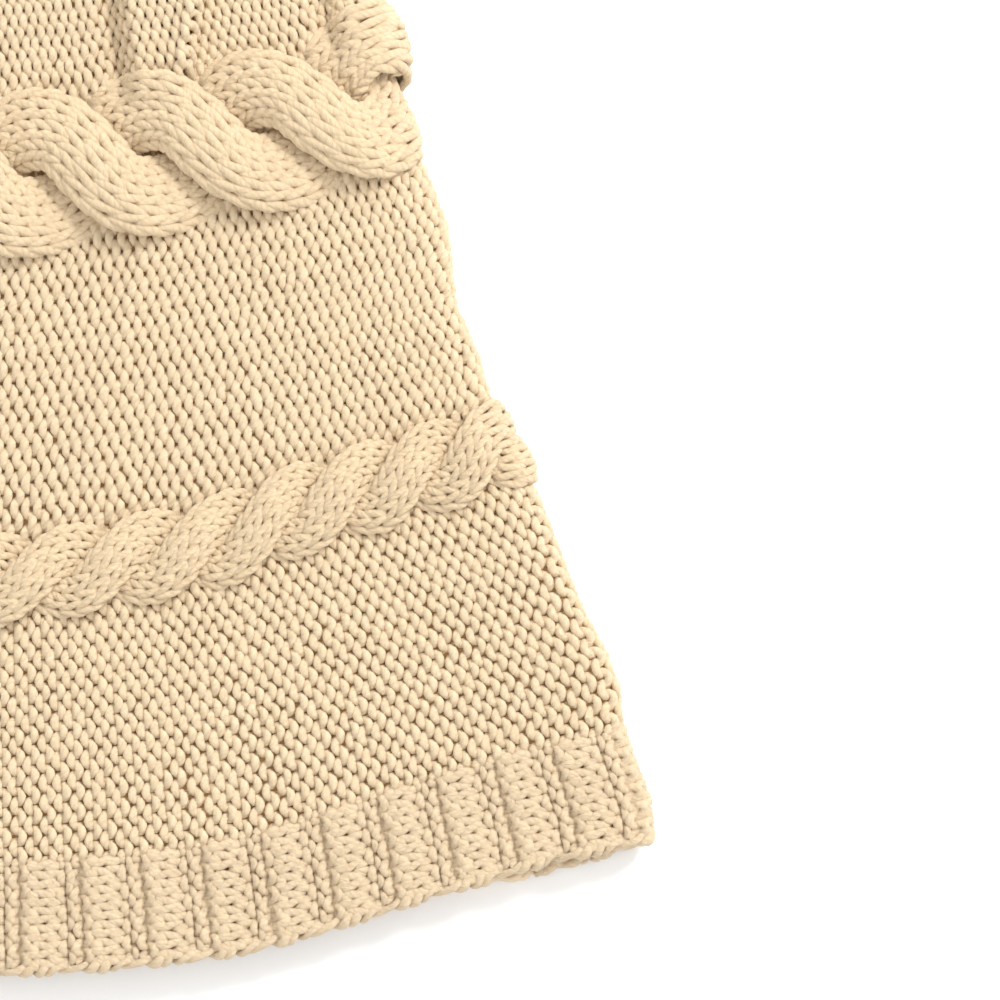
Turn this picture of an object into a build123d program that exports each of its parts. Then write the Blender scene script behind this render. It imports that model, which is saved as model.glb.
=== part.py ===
"""A round cable-knit tree skirt, folded in half and lying flat.

Millimetres, +Z up. The origin is the centre of the trunk opening, on the surface the skirt lies on.
The skirt is folded along the Y axis: the lower half lies on the surface, the upper half lies on top
of it, both on the -X side. The right side of the knitting faces outwards, so the lower half shows
it to the floor and the upper half shows it to the sky. Opening the upper half about the fold by
half a turn makes a full disc.

The knitting is built from rings round the trunk opening, each a pattern of its own. Every ring of
a half is made in two quarters, front (-Y) and back (+Y). The skirt is slit along -X in its upper
half, where a button band and a buttonhole band overlap and five buttons hold them together.
"""
import os

from build123d import *

# Driving dimensions of the disc
OUTER_RADIUS = 610.0        # a 48 inch skirt
OPENING_RADIUS = 65.0       # the hole round the trunk
LAYER_CLEARANCE = 0.25      # from each half to the plane of the fold, and to the plane of the hinge

# The rings, from the trunk outwards: name, outer radius, thickness, rounding of the right side's edges
RINGS = (
    ("collar", 85.0, 5.6, 1.6),
    ("inner_ground", 360.0, 4.8, 0.4),
    ("large_cable", 404.0, 7.0, 2.4),
    ("middle_ground", 480.0, 4.8, 0.4),
    ("small_cable", 508.0, 6.4, 2.2),
    ("outer_ground", 578.0, 4.8, 0.4),
    ("hem_welt", OUTER_RADIUS, 5.4, 1.6),
)
FOLD_HEIGHT = max(thickness for _, _, thickness, _ in RINGS) + LAYER_CLEARANCE

# The slit's two overlapping bands
BAND_WIDTH = 24.0
BAND_THICKNESS = 2.3
BAND_GAP = 0.1

# The buttons, and the holes they go through
BUTTON_COUNT = 5
FIRST_BUTTON_RADIUS = 104.0
LAST_BUTTON_RADIUS = 584.0
BUTTON_RADIUS = 11.0
BUTTON_THICKNESS = 2.3
BUTTON_EDGE_ROUNDING = 0.7
DISH_RADIUS = 6.4
DISH_DEPTH = 0.8
BUTTONHOLE_LENGTH = 18.0
BUTTONHOLE_WIDTH = 6.6

# The sewing thread, in two parallel stitches per button
THREAD_HOLE_RADIUS = 1.0
THREAD_HOLE_OFFSET = 2.2    # from the button's centre, both ways
THREAD_RADIUS = 0.7
STITCH_HEIGHT = 0.7

QUARTER_TURN = 90
INNER_FACE = FOLD_HEIGHT + LAYER_CLEARANCE          # the lowest face of the upper half
BUTTON_BAND_TOP = INNER_FACE + BAND_THICKNESS
BUTTONHOLE_BAND_TOP = BUTTON_BAND_TOP + BAND_GAP + BAND_THICKNESS
BUTTON_TOP = BUTTONHOLE_BAND_TOP + BUTTON_THICKNESS
REACH = 2 * OUTER_RADIUS    # longer than anything that is cut


def quarter_space(side, slit_gap):
    """The space a quarter may fill: clear of the hinge plane, and of the slit's bands on one side."""
    corner = (-REACH / 2 - LAYER_CLEARANCE, side * (REACH / 2 + slit_gap), 0)
    return Pos(*corner) * Box(REACH, REACH, REACH)


def lower_ring(inner, outer, thickness, rounding, side):
    """A quarter of a ring of the lower half. Its inner face is up, and its right side is down."""
    middle = (-(inner + outer) / 2, FOLD_HEIGHT - LAYER_CLEARANCE - thickness / 2)
    profile = Plane.XZ * Pos(*middle) * Rectangle(outer - inner, thickness)
    right_side_corners = profile.vertices().group_by(Axis.Z)[0]
    profile = fillet(right_side_corners, rounding)
    ring = revolve(profile, Axis.Z, revolution_arc=QUARTER_TURN)
    return ring if side < 0 else mirror(ring, Plane.XZ)


def half(name, slit_gap, upper):
    """The nodes of one half: every ring as a front and a back quarter."""
    nodes, inner = {}, OPENING_RADIUS
    for ring_name, outer, thickness, rounding in RINGS:
        for side_name, side in (("front", -1), ("back", 1)):
            ring = lower_ring(inner, outer, thickness, rounding, side)
            if upper:
                ring = mirror(ring, Plane.XY.offset(FOLD_HEIGHT))
            nodes[f"{name}_{side_name}_{ring_name}"] = ring & quarter_space(side, slit_gap)
        inner = outer
    return nodes


def band(bottom):
    """A straight band along the slit, from the trunk opening to the hem."""
    disc = Circle(OUTER_RADIUS) - Circle(OPENING_RADIUS)
    strip = disc & (Pos(-REACH / 2, 0) * Rectangle(REACH, BAND_WIDTH))
    return Pos(0, 0, bottom) * extrude(strip, BAND_THICKNESS)


def button_places():
    """The buttons' centres, evenly spaced along the slit."""
    step = (LAST_BUTTON_RADIUS - FIRST_BUTTON_RADIUS) / (BUTTON_COUNT - 1)
    return [Pos(-FIRST_BUTTON_RADIUS - i * step, 0, 0) for i in range(BUTTON_COUNT)]


def button():
    """A round button with a dish in its face and four holes."""
    body = Cylinder(BUTTON_RADIUS, BUTTON_THICKNESS, align=(Align.CENTER, Align.CENTER, Align.MIN))
    body = fillet(body.edges(), BUTTON_EDGE_ROUNDING)
    body -= Pos(0, 0, BUTTON_THICKNESS) * Cylinder(DISH_RADIUS, 2 * DISH_DEPTH)
    holes = GridLocations(2 * THREAD_HOLE_OFFSET, 2 * THREAD_HOLE_OFFSET, 2, 2)
    body -= [place * Cylinder(THREAD_HOLE_RADIUS, REACH) for place in holes]
    return Pos(0, 0, BUTTONHOLE_BAND_TOP) * body


def stitch(side):
    """One stitch: a thread up through a hole, across the dish, and down through the next hole."""
    top = BUTTON_TOP - DISH_DEPTH + STITCH_HEIGHT
    on_floor = (Align.CENTER, Align.CENTER, Align.MIN)
    post = Cylinder(THREAD_RADIUS, top - BUTTON_BAND_TOP, align=on_floor)
    across = Box(2 * THREAD_HOLE_OFFSET, 2 * THREAD_RADIUS, STITCH_HEIGHT,
                 align=(Align.CENTER, Align.CENTER, Align.MAX))
    y = side * THREAD_HOLE_OFFSET
    thread = Pos(0, y, top) * across
    for x in (-THREAD_HOLE_OFFSET, THREAD_HOLE_OFFSET):
        thread += Pos(x, y, BUTTON_BAND_TOP) * post
    return thread


def placket():
    """The nodes of the slit: two bands, the buttons and their thread."""
    buttonhole = extrude(SlotOverall(BUTTONHOLE_LENGTH, BUTTONHOLE_WIDTH), REACH)
    places = button_places()
    return {
        "button_band": band(INNER_FACE),
        "buttonhole_band": band(BUTTON_BAND_TOP + BAND_GAP) - [at * buttonhole for at in places],
        "buttons": Compound([at * button() for at in places]),
        "button_threads": Compound([at * stitch(side) for at in places for side in (-1, 1)]),
    }


def main():
    os.makedirs("parts", exist_ok=True)
    nodes = half("lower", slit_gap=0, upper=False)
    nodes |= half("upper", slit_gap=BAND_WIDTH / 2, upper=True)
    nodes |= placket()
    for name, shape in nodes.items():
        export_step(shape, f"parts/{name}.step")


main()
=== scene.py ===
import math

import bpy
import numpy as np
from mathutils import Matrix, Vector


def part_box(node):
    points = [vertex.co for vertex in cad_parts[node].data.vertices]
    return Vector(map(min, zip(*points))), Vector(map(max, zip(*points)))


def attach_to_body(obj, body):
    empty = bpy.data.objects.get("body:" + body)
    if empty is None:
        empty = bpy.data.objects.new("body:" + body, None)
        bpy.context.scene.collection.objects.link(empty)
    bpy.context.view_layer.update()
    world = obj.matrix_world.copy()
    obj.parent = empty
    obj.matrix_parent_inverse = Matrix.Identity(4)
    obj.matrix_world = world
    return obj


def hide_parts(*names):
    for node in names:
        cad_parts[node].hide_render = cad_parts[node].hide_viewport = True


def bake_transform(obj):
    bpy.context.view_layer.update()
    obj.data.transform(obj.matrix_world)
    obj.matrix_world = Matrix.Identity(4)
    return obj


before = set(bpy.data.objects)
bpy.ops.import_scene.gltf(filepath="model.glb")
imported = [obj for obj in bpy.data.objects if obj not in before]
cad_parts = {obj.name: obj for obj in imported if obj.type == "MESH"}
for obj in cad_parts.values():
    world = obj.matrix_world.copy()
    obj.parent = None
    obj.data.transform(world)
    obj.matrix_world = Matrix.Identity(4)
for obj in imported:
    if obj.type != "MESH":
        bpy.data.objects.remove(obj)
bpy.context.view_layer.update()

# Lengths are in millimetres and angles in degrees until a mesh is made.
MM = 0.001
HEM, OPENING = 607.0, 66.0   # outer and inner radius of the knitting
FOLD_Z = 7.25            # height of the hinge line
WRAP = 3.6               # radius the middle of the cloth bends to at the fold
HALF_WRAP = WRAP * math.pi / 2
PLACKET = 12.0           # half width of the button placket
PLACKET_SPREAD = 60.0    # angle over which the cloth is pushed aside for the placket
EDGE_REACH = 45.0        # how far in from the fold its bows in and out die away
EDGE_FADE = 60.0         # angle over which they die away towards the sides
COURSES = 840            # rows of stitches round the skirt
STEP = 360.0 / COURSES
YARN = 1.22              # yarn radius
YARN_END = 0.05          # radius that each row's yarn ends in
FULL_PITCH = 2.9         # pitch, at the full count of rows, from which yarn is full thickness
DEPTH = 1.02             # how far a loop swings to either side of the cloth
SHADE_SHEET_HEIGHT = -0.6             # height of the dark sheet behind the yarn, painted shade in the gaps between stitches
OPEN_ROOM = 3.0          # the most the dark sheet lifts at a pleat, to clear the floor when opened
FLAT = 1.8               # the most that folds lift the stitches on its wrong side

FINE = (-52, 8)          # rows of the part that is knitted in full detail
FULL = ((20, 8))      # steps to a loop and sides to the yarn
COARSE = ((7, 4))

rng = np.random.default_rng(12)


# ---------------------------------------------------------------- the cloth and how it lies

def smooth(x):
    x = np.clip(x, 0.0, 1.0)
    return x * x * (3.0 - 2.0 * x)


def lean(r, theta):
    """How far a row has drifted round the skirt, in degrees, where the cables draw it in."""
    drift = np.where(r < 404, 2.3 * np.exp((np.minimum(r, 404) - 404) / 64.0),
                     11.9 * np.log(490.0 / np.clip(r, 404, 490)))
    reach = np.clip(np.abs(theta - 2.0) / np.where(theta > 2.0, 30.0, 14.0), 0, 1)
    return drift * 0.5 * (1 + np.cos(math.pi * reach))


def wander(r, theta):
    """How far the large cable, the small cable and the rim wander in and out, in millimetres."""
    large = np.interp(theta, (0, 9, 14, 18, 26, 40, 70, 100, 140, 180),
                      (0, 0, 2, 5, 4, 0, 2, -2, 1, 0))
    small = np.interp(theta,
                      (-170, -90, -30, -5, 0, 4, 7.6, 11, 18, 26, 40, 60, 85, 110, 140, 175),
                      (0, 2, 0, -4, -4.5, -3.6, -1, 5.2, 11, 8, 0, 4, 1, 4, -1, 0))
    upper = np.interp(theta,
                      (-2, 0, 3.1, 6.5, 11.5, 18, 24, 32, 45, 60, 75, 90, 105, 120, 140, 160, 182),
                      (4, 3.4, 0.4, 2.0, 8.6, 10.2, 8, 3, 6, 1, 5, 2, 5, 0, 6, 1, 3))
    lower = np.interp(theta,
                      (-180, -140, -100, -60, -30, -18, -12, -7, -4.5, -3, -1.5, 0),
                      (3, 5, 0, 4, 1, 4, 2, -1, 2.4, 3.4, 3.6, 4))
    rim = np.where(theta > -1, upper, lower)
    out = large * smooth((r - 300) / 85.0)
    out = out + (small - out) * smooth((r - 404) / 90.0)
    return out + (rim - out) * smooth((r - 500) / 107.0)


def ruffle(r, theta):
    """How far the upper layer lifts in soft folds: waves all over, and near the folded edge, inside
    the large cable, a tuck, and a pleat with a sharp crest and a valley beside it. The crest runs
    on between the cables as a low ridge."""
    swell = np.sin(np.radians(theta * 11.0) + 0.6) * np.sin(r / 55.0 + theta / 9.0)
    top = smooth((374 - r) / 14.0) * smooth((r - 205) / 140.0)
    crest = 8.1 + (r - 343) * 0.053
    valley = np.exp(-((theta - 12.1) / 0.55) ** 2) * top
    pleat = smooth((theta - crest + 0.35) / 0.5) * smooth((12.2 - theta) / 1.2) * top
    ridge = np.exp(-((theta - crest - 0.1) / 0.5) ** 2)
    ridge *= 0.5 * top + 0.3 * smooth((r - 400) / 8.0) * smooth((482 - r) / 20.0)
    tuck = np.exp(-((theta - 2.2) / 0.5) ** 2) * top
    return 1.0 + 0.75 * swell - 3.2 * valley + 4.2 * pleat + 4.4 * ridge - 4.0 * tuck


def fold_wander(r):
    """How far the folded edge bows out from a straight line."""
    return np.interp(r,
                     (300, 350, 385, 404, 425, 447, 462, 478, 492,
                      508, 530, 545, 557, 568, 580, 600, 612),
                     (0, -1.2, -2.4, -1.5, -0.5, -5.6, -4.2, -4.8, -2.6,
                      -0.5, 0.4, 1.5, 3.8, 3.8, 0.6, 1.2, -1.5))


def lie(r, theta, w):
    """Lays rows of places on the flat cloth, at heights over its middle, on the folded skirt.
    Gives the points, the way up at each, and the distance round the cloth from the fold."""
    side = np.where(theta.mean(1, keepdims=True) < 90.0, -1.0, 1.0)
    theta = 90.0 + side * np.maximum(side * (theta - 90.0), 0.0)
    beyond = np.abs(theta - 90.0)
    open_by = np.degrees(np.arcsin(np.clip(PLACKET / r, 0, 1)))
    spread = open_by * np.clip(1 - beyond / PLACKET_SPREAD, 0, 1) ** 1.5
    theta = theta + side * spread
    a = np.radians(theta)
    s, y = r * np.sin(a), -r * np.cos(a)
    w = w + ruffle(r, theta) * smooth((s - 2) / 9.0)
    turn = np.clip(s / WRAP, -math.pi / 2, math.pi / 2)
    x = -WRAP - np.maximum(np.abs(s) - HALF_WRAP, 0) + (WRAP + w) * np.cos(turn)
    front = smooth((90 - np.abs(theta)) / EDGE_FADE)
    x = x + fold_wander(r) * np.exp(-np.abs(s) / EDGE_REACH) * front
    z = FOLD_Z + (WRAP + w) * np.sin(turn)
    up = np.stack([np.cos(turn), np.zeros_like(turn), np.sin(turn)], -1)
    return np.stack([x, y, z], -1), up, s


# ---------------------------------------------------------------- yarn

def loops(rows, wales, side, steps, depth, jitter, tall, crest, waist, plump, blunt,
          purl_yarn=1.0):
    """The yarn of each row as it loops across the wales: its places, height and thickness.
    side gives each row's face, 1 for knit and -1 for purl. tall is how far a loop reaches along,
    crest how long its head is, waist how far its legs lean, plump how much thicker its legs are
    than its head, and blunt how round its head is."""
    q = np.arange(wales * steps + 1) / steps
    t = 2 * math.pi * (q - np.floor(q)) - math.pi
    share = np.abs(t) / math.pi
    here, ahead = side(rows)[:, None], side(rows + 1)[:, None]

    def between(lo, hi, a, b):
        k = 0.5 - 0.5 * np.cos(math.pi * np.clip((share - lo) / (hi - lo), 0, 1))
        return a + (b - a) * k

    height = np.where(share < crest, between(0, crest, -ahead, ahead),
                      np.where(share < 1 - crest, between(crest, 1 - crest, ahead, here),
                               between(1 - crest, 1.0, here, -here)))
    u = rows[:, None] + 0.5 + tall * np.sign(np.cos(t)) * np.abs(np.cos(t)) ** blunt
    v = np.broadcast_to(q + waist * np.sin(2 * t), u.shape)
    thick = (1.0 - plump * np.cos(2 * math.pi * share)) * np.where(here < 0, purl_yarn, 1.0)
    knots = rng.normal(size=(4, len(rows), wales + 1)) * jitter
    place = np.clip(q, 0, wales)
    wobble = [np.stack([np.interp(place, np.arange(wales + 1), row) for row in k]) for k in knots]
    return (u + 0.5 * wobble[0], v + 0.35 * wobble[1],
            depth * (height + 0.8 * wobble[2]), thick * (1 + 0.5 * wobble[3]))


def tubes(points, ups, radius, sides):
    """Round yarn along each row of points: its vertices, quads, and places along and around it."""
    n, m = points.shape[:2]
    tangent = np.gradient(points, axis=1)
    tangent /= np.linalg.norm(tangent, axis=2, keepdims=True) + 1e-9
    across = np.cross(tangent, ups)
    across /= np.linalg.norm(across, axis=2, keepdims=True) + 1e-9
    over = np.cross(across, tangent)
    radius = radius * math.sqrt(2 * math.pi / (sides * math.sin(2 * math.pi / sides)))
    radius[:, 0] = radius[:, -1] = YARN_END
    angle = 2 * math.pi * np.arange(sides) / sides
    ring = (across[:, :, None] * np.cos(angle)[:, None]
            + over[:, :, None] * np.sin(angle)[:, None])
    verts = points[:, :, None] + ring * radius[:, :, None, None]
    i = np.arange(n * m * sides).reshape(n, m, sides)
    near, far = i[:, :-1], i[:, 1:]
    quads = np.stack([near, np.roll(near, -1, 2), np.roll(far, -1, 2), far], -1).reshape(-1, 4)
    length = np.linalg.norm(np.diff(points, axis=1, prepend=points[:, :1]), axis=2)
    along = np.cumsum(length, axis=1)
    shape = (n, m - 1, sides)

    def corner(step, lane):
        return np.stack([np.broadcast_to(along[:, step:m - 1 + step, None], shape),
                         np.broadcast_to((np.arange(sides) + lane) / sides, shape),
                         np.broadcast_to((np.arange(m - 1)[:, None] + step) / (m - 1), shape)], -1)

    places = np.stack([corner(0, 0), corner(0, 1), corner(1, 1), corner(1, 0)], -2)
    rows = np.broadcast_to(np.arange(n)[:, None, None], shape).reshape(-1)
    return verts.reshape(-1, 3), quads, places.reshape(-1, 4, 3), rows


def yarn_object(name, verts, quads, places, rows, material):
    """A piece of yarn, with a map that lays its rows side by side and one along and around it."""
    kept, index = np.unique(rows, return_inverse=True)
    gap = 0.08
    level = (index.reshape(-1, 1) + gap + (1 - 2 * gap) * places[:, :, 1]) / len(kept)
    used, corners = np.unique(quads, return_inverse=True)
    layers = (("OFBake", np.stack([places[:, :, 2], level], -1)), ("yarn", places[:, :, :2]))
    return mesh_object(name, verts[used], corners.reshape(-1, 4), material, layers)


def mesh_object(name, verts, quads, material, layers=()):
    """An object of smooth quads, with its maps."""
    mesh = bpy.data.meshes.new(name)
    mesh.vertices.add(len(verts))
    mesh.vertices.foreach_set("co", (verts * MM).astype(np.float32).ravel())
    mesh.loops.add(quads.size)
    mesh.loops.foreach_set("vertex_index", quads.astype(np.int32).ravel())
    mesh.polygons.add(len(quads))
    mesh.polygons.foreach_set("loop_start", np.arange(0, quads.size, 4, dtype=np.int32))
    mesh.polygons.foreach_set("use_smooth", np.ones(len(quads), bool))
    for layer, uv in layers:
        mesh.uv_layers.new(name=layer).data.foreach_set("uv", uv.astype(np.float32).ravel())
    mesh.update(calc_edges=True)
    mesh.materials.append(material)
    thing = bpy.data.objects.new(name, mesh)
    bpy.context.scene.collection.objects.link(thing)
    return thing


# ---------------------------------------------------------------- the fold, and the two halves

HALF_BEND = 8.0          # how far either side of the turning line the cloth bends
# Outer radius of each band of the fold, and the X at which its turning line starts and ends.
FOLDS = ((404.0, -2.4, -2.4), (447.0, -2.4, -5.2), (478.0, -5.2, -5.2), (530.0, -5.2, 2.7),
         (HEM, 2.7, 2.7))
PLAIN_FOLD = len(FOLDS) - 1     # the last band's line is straight, and serves the back as well
PER_PIECE = 95_000       # most quads one piece of yarn holds

pieces = {"lower": [], "front": [], "back": []}
bins = {}


def turning(band):
    """The line across which one band of the fold bends: where it starts, and how far it goes."""
    outer, first, last = FOLDS[band]
    inner = FOLDS[band - 1][0] if band else 0.0
    tilt = (last - first) / (inner - outer)
    line = np.array([1.0, -tilt]) * 2 * HALF_BEND / (1 + tilt ** 2)
    return np.array([first, -inner]) - line / 2, line


def fold_bands(verts, quads):
    """The band of the fold that each quad bends with, and -1 for those that don't reach it."""
    corners = verts[quads][:, :, :2]
    y = corners[:, :, 1].mean(1)
    band = np.where(y > 0, PLAIN_FOLD, np.searchsorted([f[0] for f in FOLDS[:-1]], -y))
    starts, lines = (np.array(side) for side in zip(*(turning(b) for b in range(len(FOLDS)))))
    bent = ((corners - starts[band][:, None]) * lines[band][:, None]).sum(2).max(1) > 0
    return np.where(bent, band, -1)


PURL = dict(tall=0.81, crest=0.39, waist=0.19, plump=-0.02, blunt=0.92)
PLAIN = dict(tall=0.93, crest=0.35, waist=0.238, plump=0.08, blunt=1.0)
WELT = dict(tall=0.88, crest=0.34, waist=0.235, plump=0.13, blunt=1.0, purl_yarn=1.3)


def knit(name, place, rows, wales, side, steps, sides, material, slot,
         depth=DEPTH, yarn=YARN, jitter=0.10, stitch=PURL):
    """Knits rows of loops, lays them with place(u, v, w), and shares them out between bodies."""
    u, v, w, thick = loops(rows, wales, side, steps, depth, jitter, **stitch)
    r, theta, w = place(u, v, w)
    radius = yarn * thick * np.clip(r * math.radians(STEP) / FULL_PITCH, 0.9, 1.0)
    share_out(name, *lie(r, theta, w), radius, sides, material, slot)


def share_out(name, points, ups, s, radius, sides, material, slot):
    """Sorts the yarn into bins by the half it belongs to, and apart where it bends at the fold."""
    verts, quads, places, rows = tubes(points, ups, radius, sides)
    s_face = np.repeat(s.reshape(-1), sides)[quads].mean(1)
    bands = fold_bands(verts, quads)
    back = verts[quads][:, :, 1].mean(1) > 0
    home = np.where(s_face < 0, 0, np.where(back, 2, 1))
    for code, body in enumerate(("lower", "front", "back")):
        for band in range(-1, len(FOLDS)):
            picked = np.flatnonzero((home == code) & (bands == band))
            if len(picked):
                label = f"{name}_{body}" if band < 0 else f"{slot}_fold_{band + 1}_{body}"
                bins.setdefault((label, body, band, slot, material), []).append(
                    (verts, quads[picked], places[picked], rows[picked]))


def empty_bins():
    """Makes one piece of each bin, or several where it would be too heavy for one."""
    for (label, body, band, slot, material), chunks in bins.items():
        base_v = np.cumsum([0] + [len(c[0]) for c in chunks])
        base_r = np.cumsum([0] + [c[3].max() + 1 for c in chunks])
        verts = np.concatenate([c[0] for c in chunks])
        quads = np.concatenate([c[1] + base for c, base in zip(chunks, base_v)])
        places = np.concatenate([c[2] for c in chunks])
        rows = np.concatenate([c[3] + base for c, base in zip(chunks, base_r)])
        parts = math.ceil(len(quads) / PER_PIECE)
        for number, part in enumerate(np.array_split(np.arange(len(quads)), parts)):
            tag = f"{label}_{number + 1}" if parts > 1 else label
            piece = yarn_object(tag, verts, quads[part], places[part], rows[part], material)
            attach(piece, body, band)
            pieces[body].append(piece)


def attach(piece, body, band):
    """Rides a piece on its own half, or, for a piece that lies across one band of the fold, only
    bakes its place into its mesh.
    """
    own, other = ("lower_half", "upper_half") if body == "lower" else ("upper_half", "lower_half")
    if band < 0:
        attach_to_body(piece, own)
    else:
        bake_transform(piece)


# ---------------------------------------------------------------- bands

PULL_REACH = 10.0        # how far from a cable's edge the ground is drawn
EDGE_DIP = 1.6           # how far the ground dips where it meets a cable


def ring(outer, inner, wales, count=COURSES, pulls=(), gather=0.0):
    """Places a plain ring of stitches, drawn towards the cables beside it where their strands
    cross, and gathered between its pairs of rows. Each pull has the edge's radius, the way off the
    cable, the cable's phase, and how far it draws."""
    def place(u, v, w):
        u = u - gather * np.sin(math.pi * u)
        theta = -u * 360.0 / count
        r = outer - (outer - inner) * v / wales
        theta = theta - lean(r, theta)
        for edge, away, phase, amount in pulls:
            beyond = (r - edge) * away
            drawn = np.exp(-np.abs(beyond) / PULL_REACH) * np.sin(math.pi * phase(u)) ** 2
            r = r - away * amount * drawn
            w = w - EDGE_DIP * smooth((3.0 - beyond) / 9.0)
        return r + wander(r, theta), theta, w
    return place


def cable(centre, half, swing, reach, first, period, outward, strand, wales, rise, swell,
          crown, shear, pinch, pace, snap):
    """Places one strand of a two-strand cable, swinging across its centre and over or under the
    other. snap is how sharply it swings over between its straighter runs, crown how round its
    back is, and pinch how far the folded edge draws the cable in. The cable stands out on the
    upper layer, and turns inwards on the lower one, which lies on the floor."""
    def place(u, v, w):
        u = u * pace
        phase = math.pi * ((u - first) / period + 0.5)
        across = half * (1 - 2 * v / wales)
        theta_c = -u * STEP
        middle = centre - pinch * np.exp(-(theta_c / 2.4) ** 2)
        bow = np.tanh(snap * np.cos(phase)) / math.tanh(snap)
        steep = snap / math.tanh(snap) / np.cosh(snap * np.cos(phase)) ** 2
        flat = -swing * strand * outward * bow
        slope = swing * strand * outward * np.sin(phase) * steep * math.pi / (period * reach)
        tilt = slope * shear
        norm = np.sqrt(1 + tilt ** 2)
        r = middle + flat + across / norm
        theta = theta_c + np.degrees(tilt * across / norm / centre)
        theta = theta - lean(r, theta)
        s = r * np.sin(np.radians(theta))
        full = smooth((s + 6.0) / 8.0)
        edge = np.abs(across / half)
        low = -swell - 0.2
        height = (rise * full + low * (1 - full)) + swell * strand * np.sin(phase)
        height = height + crown * (1 - edge ** 2.4 * 1.9) * full
        return r + wander(r, theta), theta, height + w
    return place


def knit_side(rows):
    return np.ones(len(rows))


def purl_side(rows):
    return -np.ones(len(rows))


def welt_side(rows):
    """Pairs of knit and of purl rows in turn."""
    return np.where(np.mod(rows, 4) < 2, 1.0, -1.0)


# ---------------------------------------------------------------- materials

def material(name, colour, roughness, sheen=0.0):
    """A plain material, and what more nodes need to be added to it."""
    m = bpy.data.materials.new(name)
    m.use_nodes = True
    shader = m.node_tree.nodes["Principled BSDF"]
    shader.inputs["Base Color"].default_value = (*colour, 1)
    shader.inputs["Roughness"].default_value = roughness
    shader.inputs["Sheen Weight"].default_value = sheen
    return m, m.node_tree.nodes, m.node_tree.links, shader


def yarn_material(name, light, dark, fibres, sheen=0.2):
    """Wool yarn: soft changes of shade, and with fibres a twisted ply with fine fibres along it."""
    m, nodes, links, shader = material(name, light, 0.85, sheen)
    shader.inputs["Sheen Roughness"].default_value = 0.6

    def maths(operation, *values):
        node = nodes.new("ShaderNodeMath")
        node.operation = operation
        for socket, value in zip(node.inputs, values):
            if isinstance(value, float):
                socket.default_value = value
            else:
                links.new(value, socket)
        return node.outputs[0]

    def noise(scale, detail, roughness, vector):
        node = nodes.new("ShaderNodeTexNoise")
        node.inputs["Scale"].default_value = scale
        node.inputs["Detail"].default_value = detail
        node.inputs["Roughness"].default_value = roughness
        links.new(vector, node.inputs["Vector"])
        return node.outputs["Fac"]

    where = nodes.new("ShaderNodeTexCoord").outputs["Object"]
    shade = noise(260.0, 3.0, 0.5, where)
    if fibres:
        uv = nodes.new("ShaderNodeUVMap")
        uv.uv_map = "yarn"
        split = nodes.new("ShaderNodeSeparateXYZ")
        links.new(uv.outputs["UV"], split.inputs[0])
        twist = maths("MULTIPLY_ADD", split.outputs["X"], 0.17, split.outputs["Y"])
        turn = maths("MULTIPLY", twist, 2 * math.pi)
        streak = nodes.new("ShaderNodeCombineXYZ")
        links.new(maths("COSINE", turn), streak.inputs["X"])
        links.new(maths("SINE", turn), streak.inputs["Y"])
        links.new(maths("MULTIPLY", split.outputs["X"], 0.16), streak.inputs["Z"])
        ply = maths("SINE", maths("MULTIPLY", turn, 3.0))
        fuzz = noise(4.2, 5.0, 0.62, streak.outputs[0])
        shade = maths("MULTIPLY_ADD", fuzz, 2.4, maths("SUBTRACT", shade, 1.08))
        shade = maths("MULTIPLY_ADD", ply, 0.10, shade)
        bump = nodes.new("ShaderNodeBump")
        bump.inputs["Strength"].default_value = 0.8
        bump.inputs["Distance"].default_value = 0.001
        links.new(maths("MULTIPLY_ADD", ply, 0.16, fuzz), bump.inputs["Height"])
        links.new(bump.outputs["Normal"], shader.inputs["Normal"])
    mix = nodes.new("ShaderNodeMix")
    mix.data_type = "RGBA"
    mix.inputs["A"].default_value = (*dark, 1)
    mix.inputs["B"].default_value = (*light, 1)
    links.new(shade, mix.inputs["Factor"])
    links.new(mix.outputs["Result"], shader.inputs["Base Color"])
    return m


COARSE_PAINTED_SHADE = 0.91       # darkening of the plain wool: painted shade standing in for the self-shadow and bump shading of the close-up wool with its streaks
# The cable's wool is a little darker than the ground's, painted shade standing in for the deeper
# shadows among its raised strands.
WOOLS = {"ground": ((0.94, 0.755, 0.505), (0.81, 0.61, 0.37)),
         "cable": ((0.90, 0.71, 0.46), (0.77, 0.57, 0.34)),
         "rib": ((0.86, 0.68, 0.45), (0.74, 0.555, 0.345))}
wools = {}
for kind, tones in WOOLS.items():
    # The plain wool is a darker copy of the close-up wool, painted shade for the shading its
    # smooth, coarse yarn lacks.
    shaded_tones = [tuple(COARSE_PAINTED_SHADE * c for c in tone) for tone in tones]
    wools[kind] = [yarn_material(f"{kind} wool close up", *tones, True),
                   yarn_material(f"{kind} wool", *shaded_tones, False)]
# Painted shade: the dark brown of the sheet behind the yarn stands for the shadow deep in the gaps
# between stitches.
gap_shade_wool = material("painted gap shade", (0.48, 0.29, 0.12), 0.95)[0]


# ---------------------------------------------------------------- knitting the skirt

BIG_ROWS = 600           # the large cable's stitches are longer than the ground's
BIG = dict(centre=384.5, half=11.2, wales=4, swing=12.5, reach=3.1, first=-23.5, period=11,
           outward=1, rise=2.5, swell=4.1, crown=1.8, shear=0.55, pinch=13.0,
           pace=COURSES / BIG_ROWS, snap=1.15)
SMALL = dict(centre=494.0, half=7.0, wales=3, swing=6.3, reach=3.7, first=-21.5, period=6,
             outward=-1, rise=1.8, swell=2.5, crown=1.2, shear=0.5, pinch=0.0, pace=1.0, snap=0.6)


def big_cross(u):
    return (u - BIG["first"]) / BIG["period"] + 0.5


def small_cross(u):
    return (u - SMALL["first"]) / SMALL["period"] + 0.5


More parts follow.
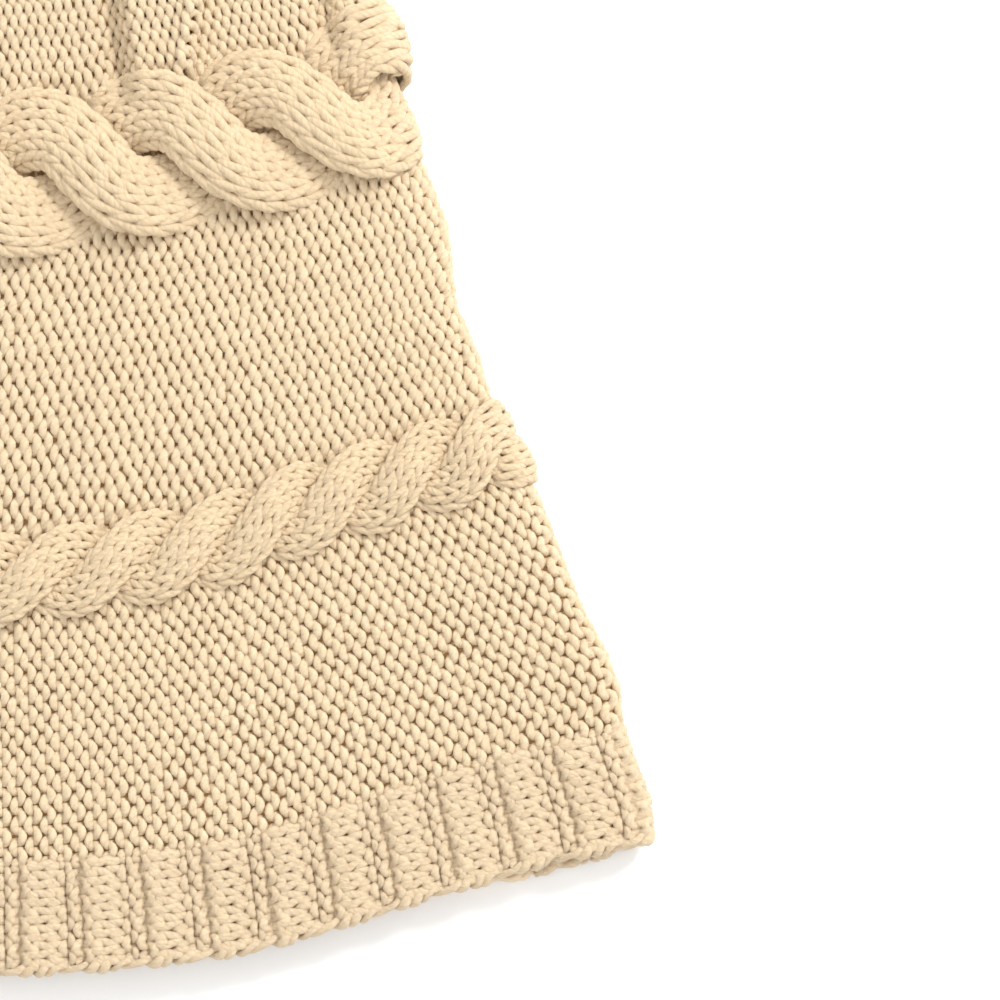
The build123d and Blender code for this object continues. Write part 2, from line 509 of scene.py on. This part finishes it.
# Each band's radii, wales, face, wool, slot, pulls, stitch, depth and yarn radius.
BANDS = (
    ("hem_welt", HEM, 576.5, 6, welt_side, "rib", "knit_rib", (), WELT, 1.4, 1.12),
    ("outer_ground", 577.5, 501.5, 13, purl_side, "ground", "knit_ground",
     ((507.0, 1, small_cross, 2.4),), PURL, DEPTH, YARN),
    ("middle_ground", 487.0, 395.5, 14, purl_side, "ground", "knit_ground",
     ((481.0, -1, small_cross, 2.4), (404.0, 1, big_cross, 3.6)), PURL, DEPTH, YARN),
)
# The inner ground's rings, with fewer rows towards the opening: radii, wales and rows.
INNER = ((373.5, 329.5, 7, 772), (330.5, 267.5, 10, 640), (268.5, 211.5, 9, 512),
         (212.5, 159.5, 8, 400), (160.5, 117.5, 7, 300), (118.5, 84.0, 6, 210))
COLLAR_ROWS = 180
WELT_GATHER = 0.1        # how far a block's rows are drawn together


def stretches(count=COURSES):
    """Runs of rows, with the steps to a loop and sides to the yarn that each is made with."""
    half = count // 2
    lo, hi = (round(f * count / COURSES) for f in FINE)
    return (("", np.arange(-half, -half // 2), *COARSE), ("", np.arange(-half // 2, lo), *COARSE),
            ("near_", np.arange(lo, hi), *FULL), ("", np.arange(hi, half), *COARSE))


def wool_for(kind, near):
    return wools[kind][0 if near else 1]


for name, outer, inner, wales, side, kind, slot, pulls, stitch, depth, yarn in BANDS:
    for near, rows, steps, sides in stretches():
        if side is welt_side and not near:
            steps, sides = steps + 3, sides + 1
        gather = WELT_GATHER if side is welt_side else 0.0
        knit(near + name, ring(outer, inner, wales, pulls=pulls, gather=gather), rows, wales,
             side, steps, sides, wool_for(kind, near), slot, depth, yarn, stitch=stitch)


def bound_edge(near, start, stop, steps, sides, radius, turn):
    """The cord of yarn that binds the rim, winding about once over every second row."""
    u = np.arange(start * steps, stop * steps + 1)[None, :] / steps
    wind = math.pi * u + 0.9 * np.sin(0.5 * math.pi * u) + 0.5 * np.sin(0.173 * u + turn)
    theta = -u * STEP
    r = radius + (1.0 + 0.5 * np.sin(0.5 * math.pi * u + 1.1)) * np.cos(wind + turn)
    beat = 1 + 0.2 * np.sin(0.5 * math.pi * u + turn) + 0.1 * np.sin(0.71 * wind)
    share_out(near + "bound_edge", *lie(r + wander(r, theta), theta, 1.5 * np.sin(wind + turn)),
              1.2 * beat, sides, wool_for("rib", near), "knit_rib")


for near, rows, steps, sides in stretches():
    for turn in (0.0, math.pi):
        bound_edge(near, rows[0], rows[-1] + 1, max(6, steps // 2), sides, HEM + 0.3, turn)

for number, (outer, inner, wales, count) in enumerate(INNER):
    pace = COURSES / count
    pulls = () if number else ((363.0, -1, lambda u: big_cross(u * pace), 3.6),)
    for near, rows, steps, sides in stretches(count):
        if number:
            near, (steps, sides) = "", COARSE
        knit(near + "inner_ground", ring(outer, inner, wales, count, pulls=pulls), rows, wales,
             purl_side, steps, sides, wool_for("ground", near), "knit_ground")

for _, rows, _, _ in stretches(COLLAR_ROWS):
    knit("collar", ring(85.0, OPENING, 4, COLLAR_ROWS), rows, 4, welt_side, *COARSE,
         wool_for("rib", ""), "knit_rib")

for strand in (1, -1):
    for near, rows, steps, sides in stretches(BIG_ROWS):
        knit(near + "large_cable", cable(strand=strand, **BIG), rows, BIG["wales"], knit_side,
             steps, sides, wool_for("cable", near), "knit_cable", depth=1.6, yarn=1.33,
             jitter=0.07, stitch=dict(PLAIN, tall=0.99))
    for near, rows, steps, sides in stretches():
        knit(near + "small_cable", cable(strand=strand, **SMALL), rows, SMALL["wales"], knit_side,
             steps, sides, wool_for("cable", near), "knit_cable", depth=1.5, yarn=1.04,
             stitch=PLAIN)


def behind(place, drop):
    """Places stitches on the wrong side of the cloth, lower than place does and flat under the
    pleat."""
    def lowered(u, v, w):
        r, theta, w = place(u, v, w)
        return r, theta, w - drop - np.maximum(ruffle(r, theta) - FLAT, 0)
    return lowered


# Radii, wales, rows to a full turn, first and last angle as rows count them, and how far down.
BACKINGS = (("large_cable_backing", 398.0, 371.0, 5, COURSES, -180.0, 0.0, 2.0),
            ("small_cable_backing", 503.0, 485.5, 3, COURSES, -180.0, 0.0, 2.0),
            ("pleat_backing", 373.5, 329.5, 7, 772, -13.0, -7.5, 0.5),
            ("pleat_backing", 330.5, 267.5, 10, 640, -13.0, -7.5, 0.5))
for name, outer, inner, wales, count, start, stop, drop in BACKINGS:
    rows = np.arange(round(start * count / 360), round(stop * count / 360))
    knit(name, behind(ring(outer, inner, wales, count), drop), rows, wales, purl_side, *COARSE,
         wool_for("ground", ""), "knit_ground", depth=0.9)

empty_bins()


# ---------------------------------------------------------------- the dark sheet behind the yarn, painted shade in the gaps between stitches

CLOSE_CUTS = np.arange(0, 12.1, 0.8)     # distances from the fold at which the dark sheet is cut


def core(name, body, lo, hi, radii=40, turns=120):
    """A thin dark sheet under the stitches, which hides what lies behind them and paints the shade
    in the gaps between them: one open sheet from angle lo to angle hi, with strips along the folded
    edge, one piece for each band of the fold."""
    r = np.linspace(OPENING, HEM - 1.5, radii)[:, None]
    start = np.degrees(np.arcsin(CLOSE_CUTS[None, :] / r))
    inner_lo = start[:, -1:] if lo in (0, -180) else np.zeros_like(r)
    inner_hi = start[:, -1:] if hi in (0, 180) else np.zeros_like(r)
    middle = lo + inner_lo + (hi - lo - inner_lo - inner_hi) * np.linspace(0, 1, turns)[None, :]
    parts = [lo + start[:, :-1]] if lo in (0, -180) else []
    parts.append(middle)
    if hi in (0, 180):
        parts.append(hi - start[:, -2::-1])
    theta = np.concatenate([np.broadcast_to(p, (radii, p.shape[1])) for p in parts], 1)
    r = np.broadcast_to(r, theta.shape)
    r = r + wander(r, theta)
    height = np.minimum(SHADE_SHEET_HEIGHT, OPEN_ROOM - ruffle(r, theta))
    points, _, _ = lie(r, theta, height)
    m = theta.shape[1]
    i = np.arange(radii * m).reshape(radii, m)
    quads = np.stack([i[:-1, :-1], i[1:, :-1], i[1:, 1:], i[:-1, 1:]], -1).reshape(-1, 4)
    points = points.reshape(-1, 3)
    bands = fold_bands(points, quads)
    bands[bands < 0] = PLAIN_FOLD
    for band in range(len(FOLDS)):
        if np.any(bands == band):
            used, corners = np.unique(quads[bands == band], return_inverse=True)
            label = name if band == PLAIN_FOLD else f"{name}_fold_{band + 1}"
            sheet = mesh_object(label, points[used], corners.reshape(-1, 4), gap_shade_wool)
            attach(sheet, body, band)
            if band != PLAIN_FOLD:
                pieces[name.split("_")[1]].append(sheet)
    return sheet


# The dark sheets behind the yarn, painted shade in the gaps between stitches.
core_lower = core("cloth_lower", "lower", -180, 0)
core_front = core("cloth_front", "upper", 0, 90, 60, 480)
core_back = core("cloth_back", "upper", 90, 180)

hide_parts(*[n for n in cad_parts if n.startswith("lower_")])
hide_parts(*[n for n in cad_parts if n.startswith("upper_front_")])
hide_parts(*[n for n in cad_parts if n.startswith("upper_back_")])


# ---------------------------------------------------------------- placket and buttons

BAND_PITCH = 4.3         # length of the placket that one row takes up
BAND_WALES = 5
BAND_YARN = 1.02         # its yarn's radius
BAND_FILL = 0.97         # share of the placket's width that its stitches take up


def placket(node, height):
    """One knitted band of the placket, with a thin dark sheet under it that paints the shade in the
    gaps between its stitches.
    """
    lo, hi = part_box(node)
    start, stop = -hi.x / MM, -lo.x / MM
    rows = np.arange(round((stop - start) / BAND_PITCH))
    steps, sides = ((10, 6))
    u, v, w, thick = loops(rows, BAND_WALES, knit_side, steps, depth=0.55, jitter=0.06, **PLAIN)
    x = -(start + (u + 0.5) * (stop - start) / (len(rows) + 1))
    y = PLACKET * (1 - 2 * v / BAND_WALES) * BAND_FILL
    points = np.stack([x, y, height + w], -1)
    ups = np.broadcast_to((0.0, 0.0, 1.0), points.shape)
    yarn = yarn_object(f"{node}_yarn", *tubes(points, ups, BAND_YARN * thick, sides),
                       wool_for("rib", ""))
    half = PLACKET - 1
    corners = np.array([(-start, -half, height), (-stop, -half, height),
                        (-stop, half, height), (-start, half, height)])
    # The sheet under the band is painted shade for the gaps between its stitches.
    sheet = mesh_object(f"{node}_cloth", corners, np.array([[0, 1, 2, 3]]), gap_shade_wool)
    for piece in (yarn, sheet):
        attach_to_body(piece, "upper_half")
    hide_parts(node)


placket("button_band", FOLD_Z + 1.75)
placket("buttonhole_band", FOLD_Z + 4.25)

wood, nodes, links, shader = material("button wood", (0.42, 0.22, 0.09), 0.42)
where = nodes.new("ShaderNodeTexCoord")
grain = nodes.new("ShaderNodeTexWave")
grain.bands_direction = "Y"
grain.inputs["Scale"].default_value = 130.0
grain.inputs["Distortion"].default_value = 5.0
grain.inputs["Detail"].default_value = 3.0
links.new(where.outputs["Object"], grain.inputs["Vector"])
tone = nodes.new("ShaderNodeMix")
tone.data_type = "RGBA"
tone.inputs["A"].default_value = (0.27, 0.125, 0.045, 1)
tone.inputs["B"].default_value = (0.52, 0.30, 0.135, 1)
links.new(grain.outputs["Fac"], tone.inputs["Factor"])
links.new(tone.outputs["Result"], shader.inputs["Base Color"])
thread = material("button thread", (0.72, 0.60, 0.42), 0.9, 0.2)[0]
for node, finish, slot in (("buttons", wood, "button_wood"), ("button_threads", thread, "thread")):
    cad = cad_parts[node]
    cad.data.materials.clear()
    cad.data.materials.append(finish)


# ---------------------------------------------------------------- floor, light and camera

# From here on, lengths are in metres.
FLOOR = 6.0              # half the floor's side
FRAMED = 0.2884          # width of floor that the picture takes in
EYE = 1.4                # height of the camera over the cloth

floor_mesh = bpy.data.meshes.new("floor")
floor_mesh.from_pydata([(-FLOOR, -FLOOR, 0), (FLOOR, -FLOOR, 0), (FLOOR, FLOOR, 0),
                        (-FLOOR, FLOOR, 0)], [], [(0, 1, 2, 3)])
floor_mesh.materials.append(material("floor", (0.97, 0.97, 0.97), 0.9)[0])
floor = bpy.data.objects.new("floor", floor_mesh)
bpy.context.scene.collection.objects.link(floor)


def area_light(name, place, aim, size, power):
    """A round light at one place, turned towards another."""
    light = bpy.data.lights.new(name, "AREA")
    light.shape = "DISK"
    light.size = size
    light.energy = power
    thing = bpy.data.objects.new(name, light)
    bpy.context.scene.collection.objects.link(thing)
    thing.location = place
    direction = np.array(aim) - np.array(place)
    flat = math.hypot(direction[0], direction[1])
    thing.rotation_euler = (math.atan2(flat, -direction[2]), 0,
                            math.atan2(direction[1], direction[0]) - math.pi / 2)


area_light("key", (2.1, 0.75, 1.75), (0, -0.4, 0), 0.9, 66)
world = bpy.data.worlds.new("studio")
world.use_nodes = True
world.node_tree.nodes["Background"].inputs["Color"].default_value = (1, 1, 1, 1)
world.node_tree.nodes["Background"].inputs["Strength"].default_value = 1.09
bpy.context.scene.world = world

view = bpy.data.cameras.new("camera")
view.sensor_width = 36.0
view.lens = view.sensor_width * EYE / FRAMED
camera = bpy.data.objects.new("camera", view)
camera.location = (-0.010, -0.5047, EYE + 0.012)
camera.rotation_euler = (0, 0, math.radians(-18.76))
bpy.context.scene.collection.objects.link(camera)
bpy.context.scene.camera = camera
bpy.context.scene.view_settings.view_transform = "Standard"
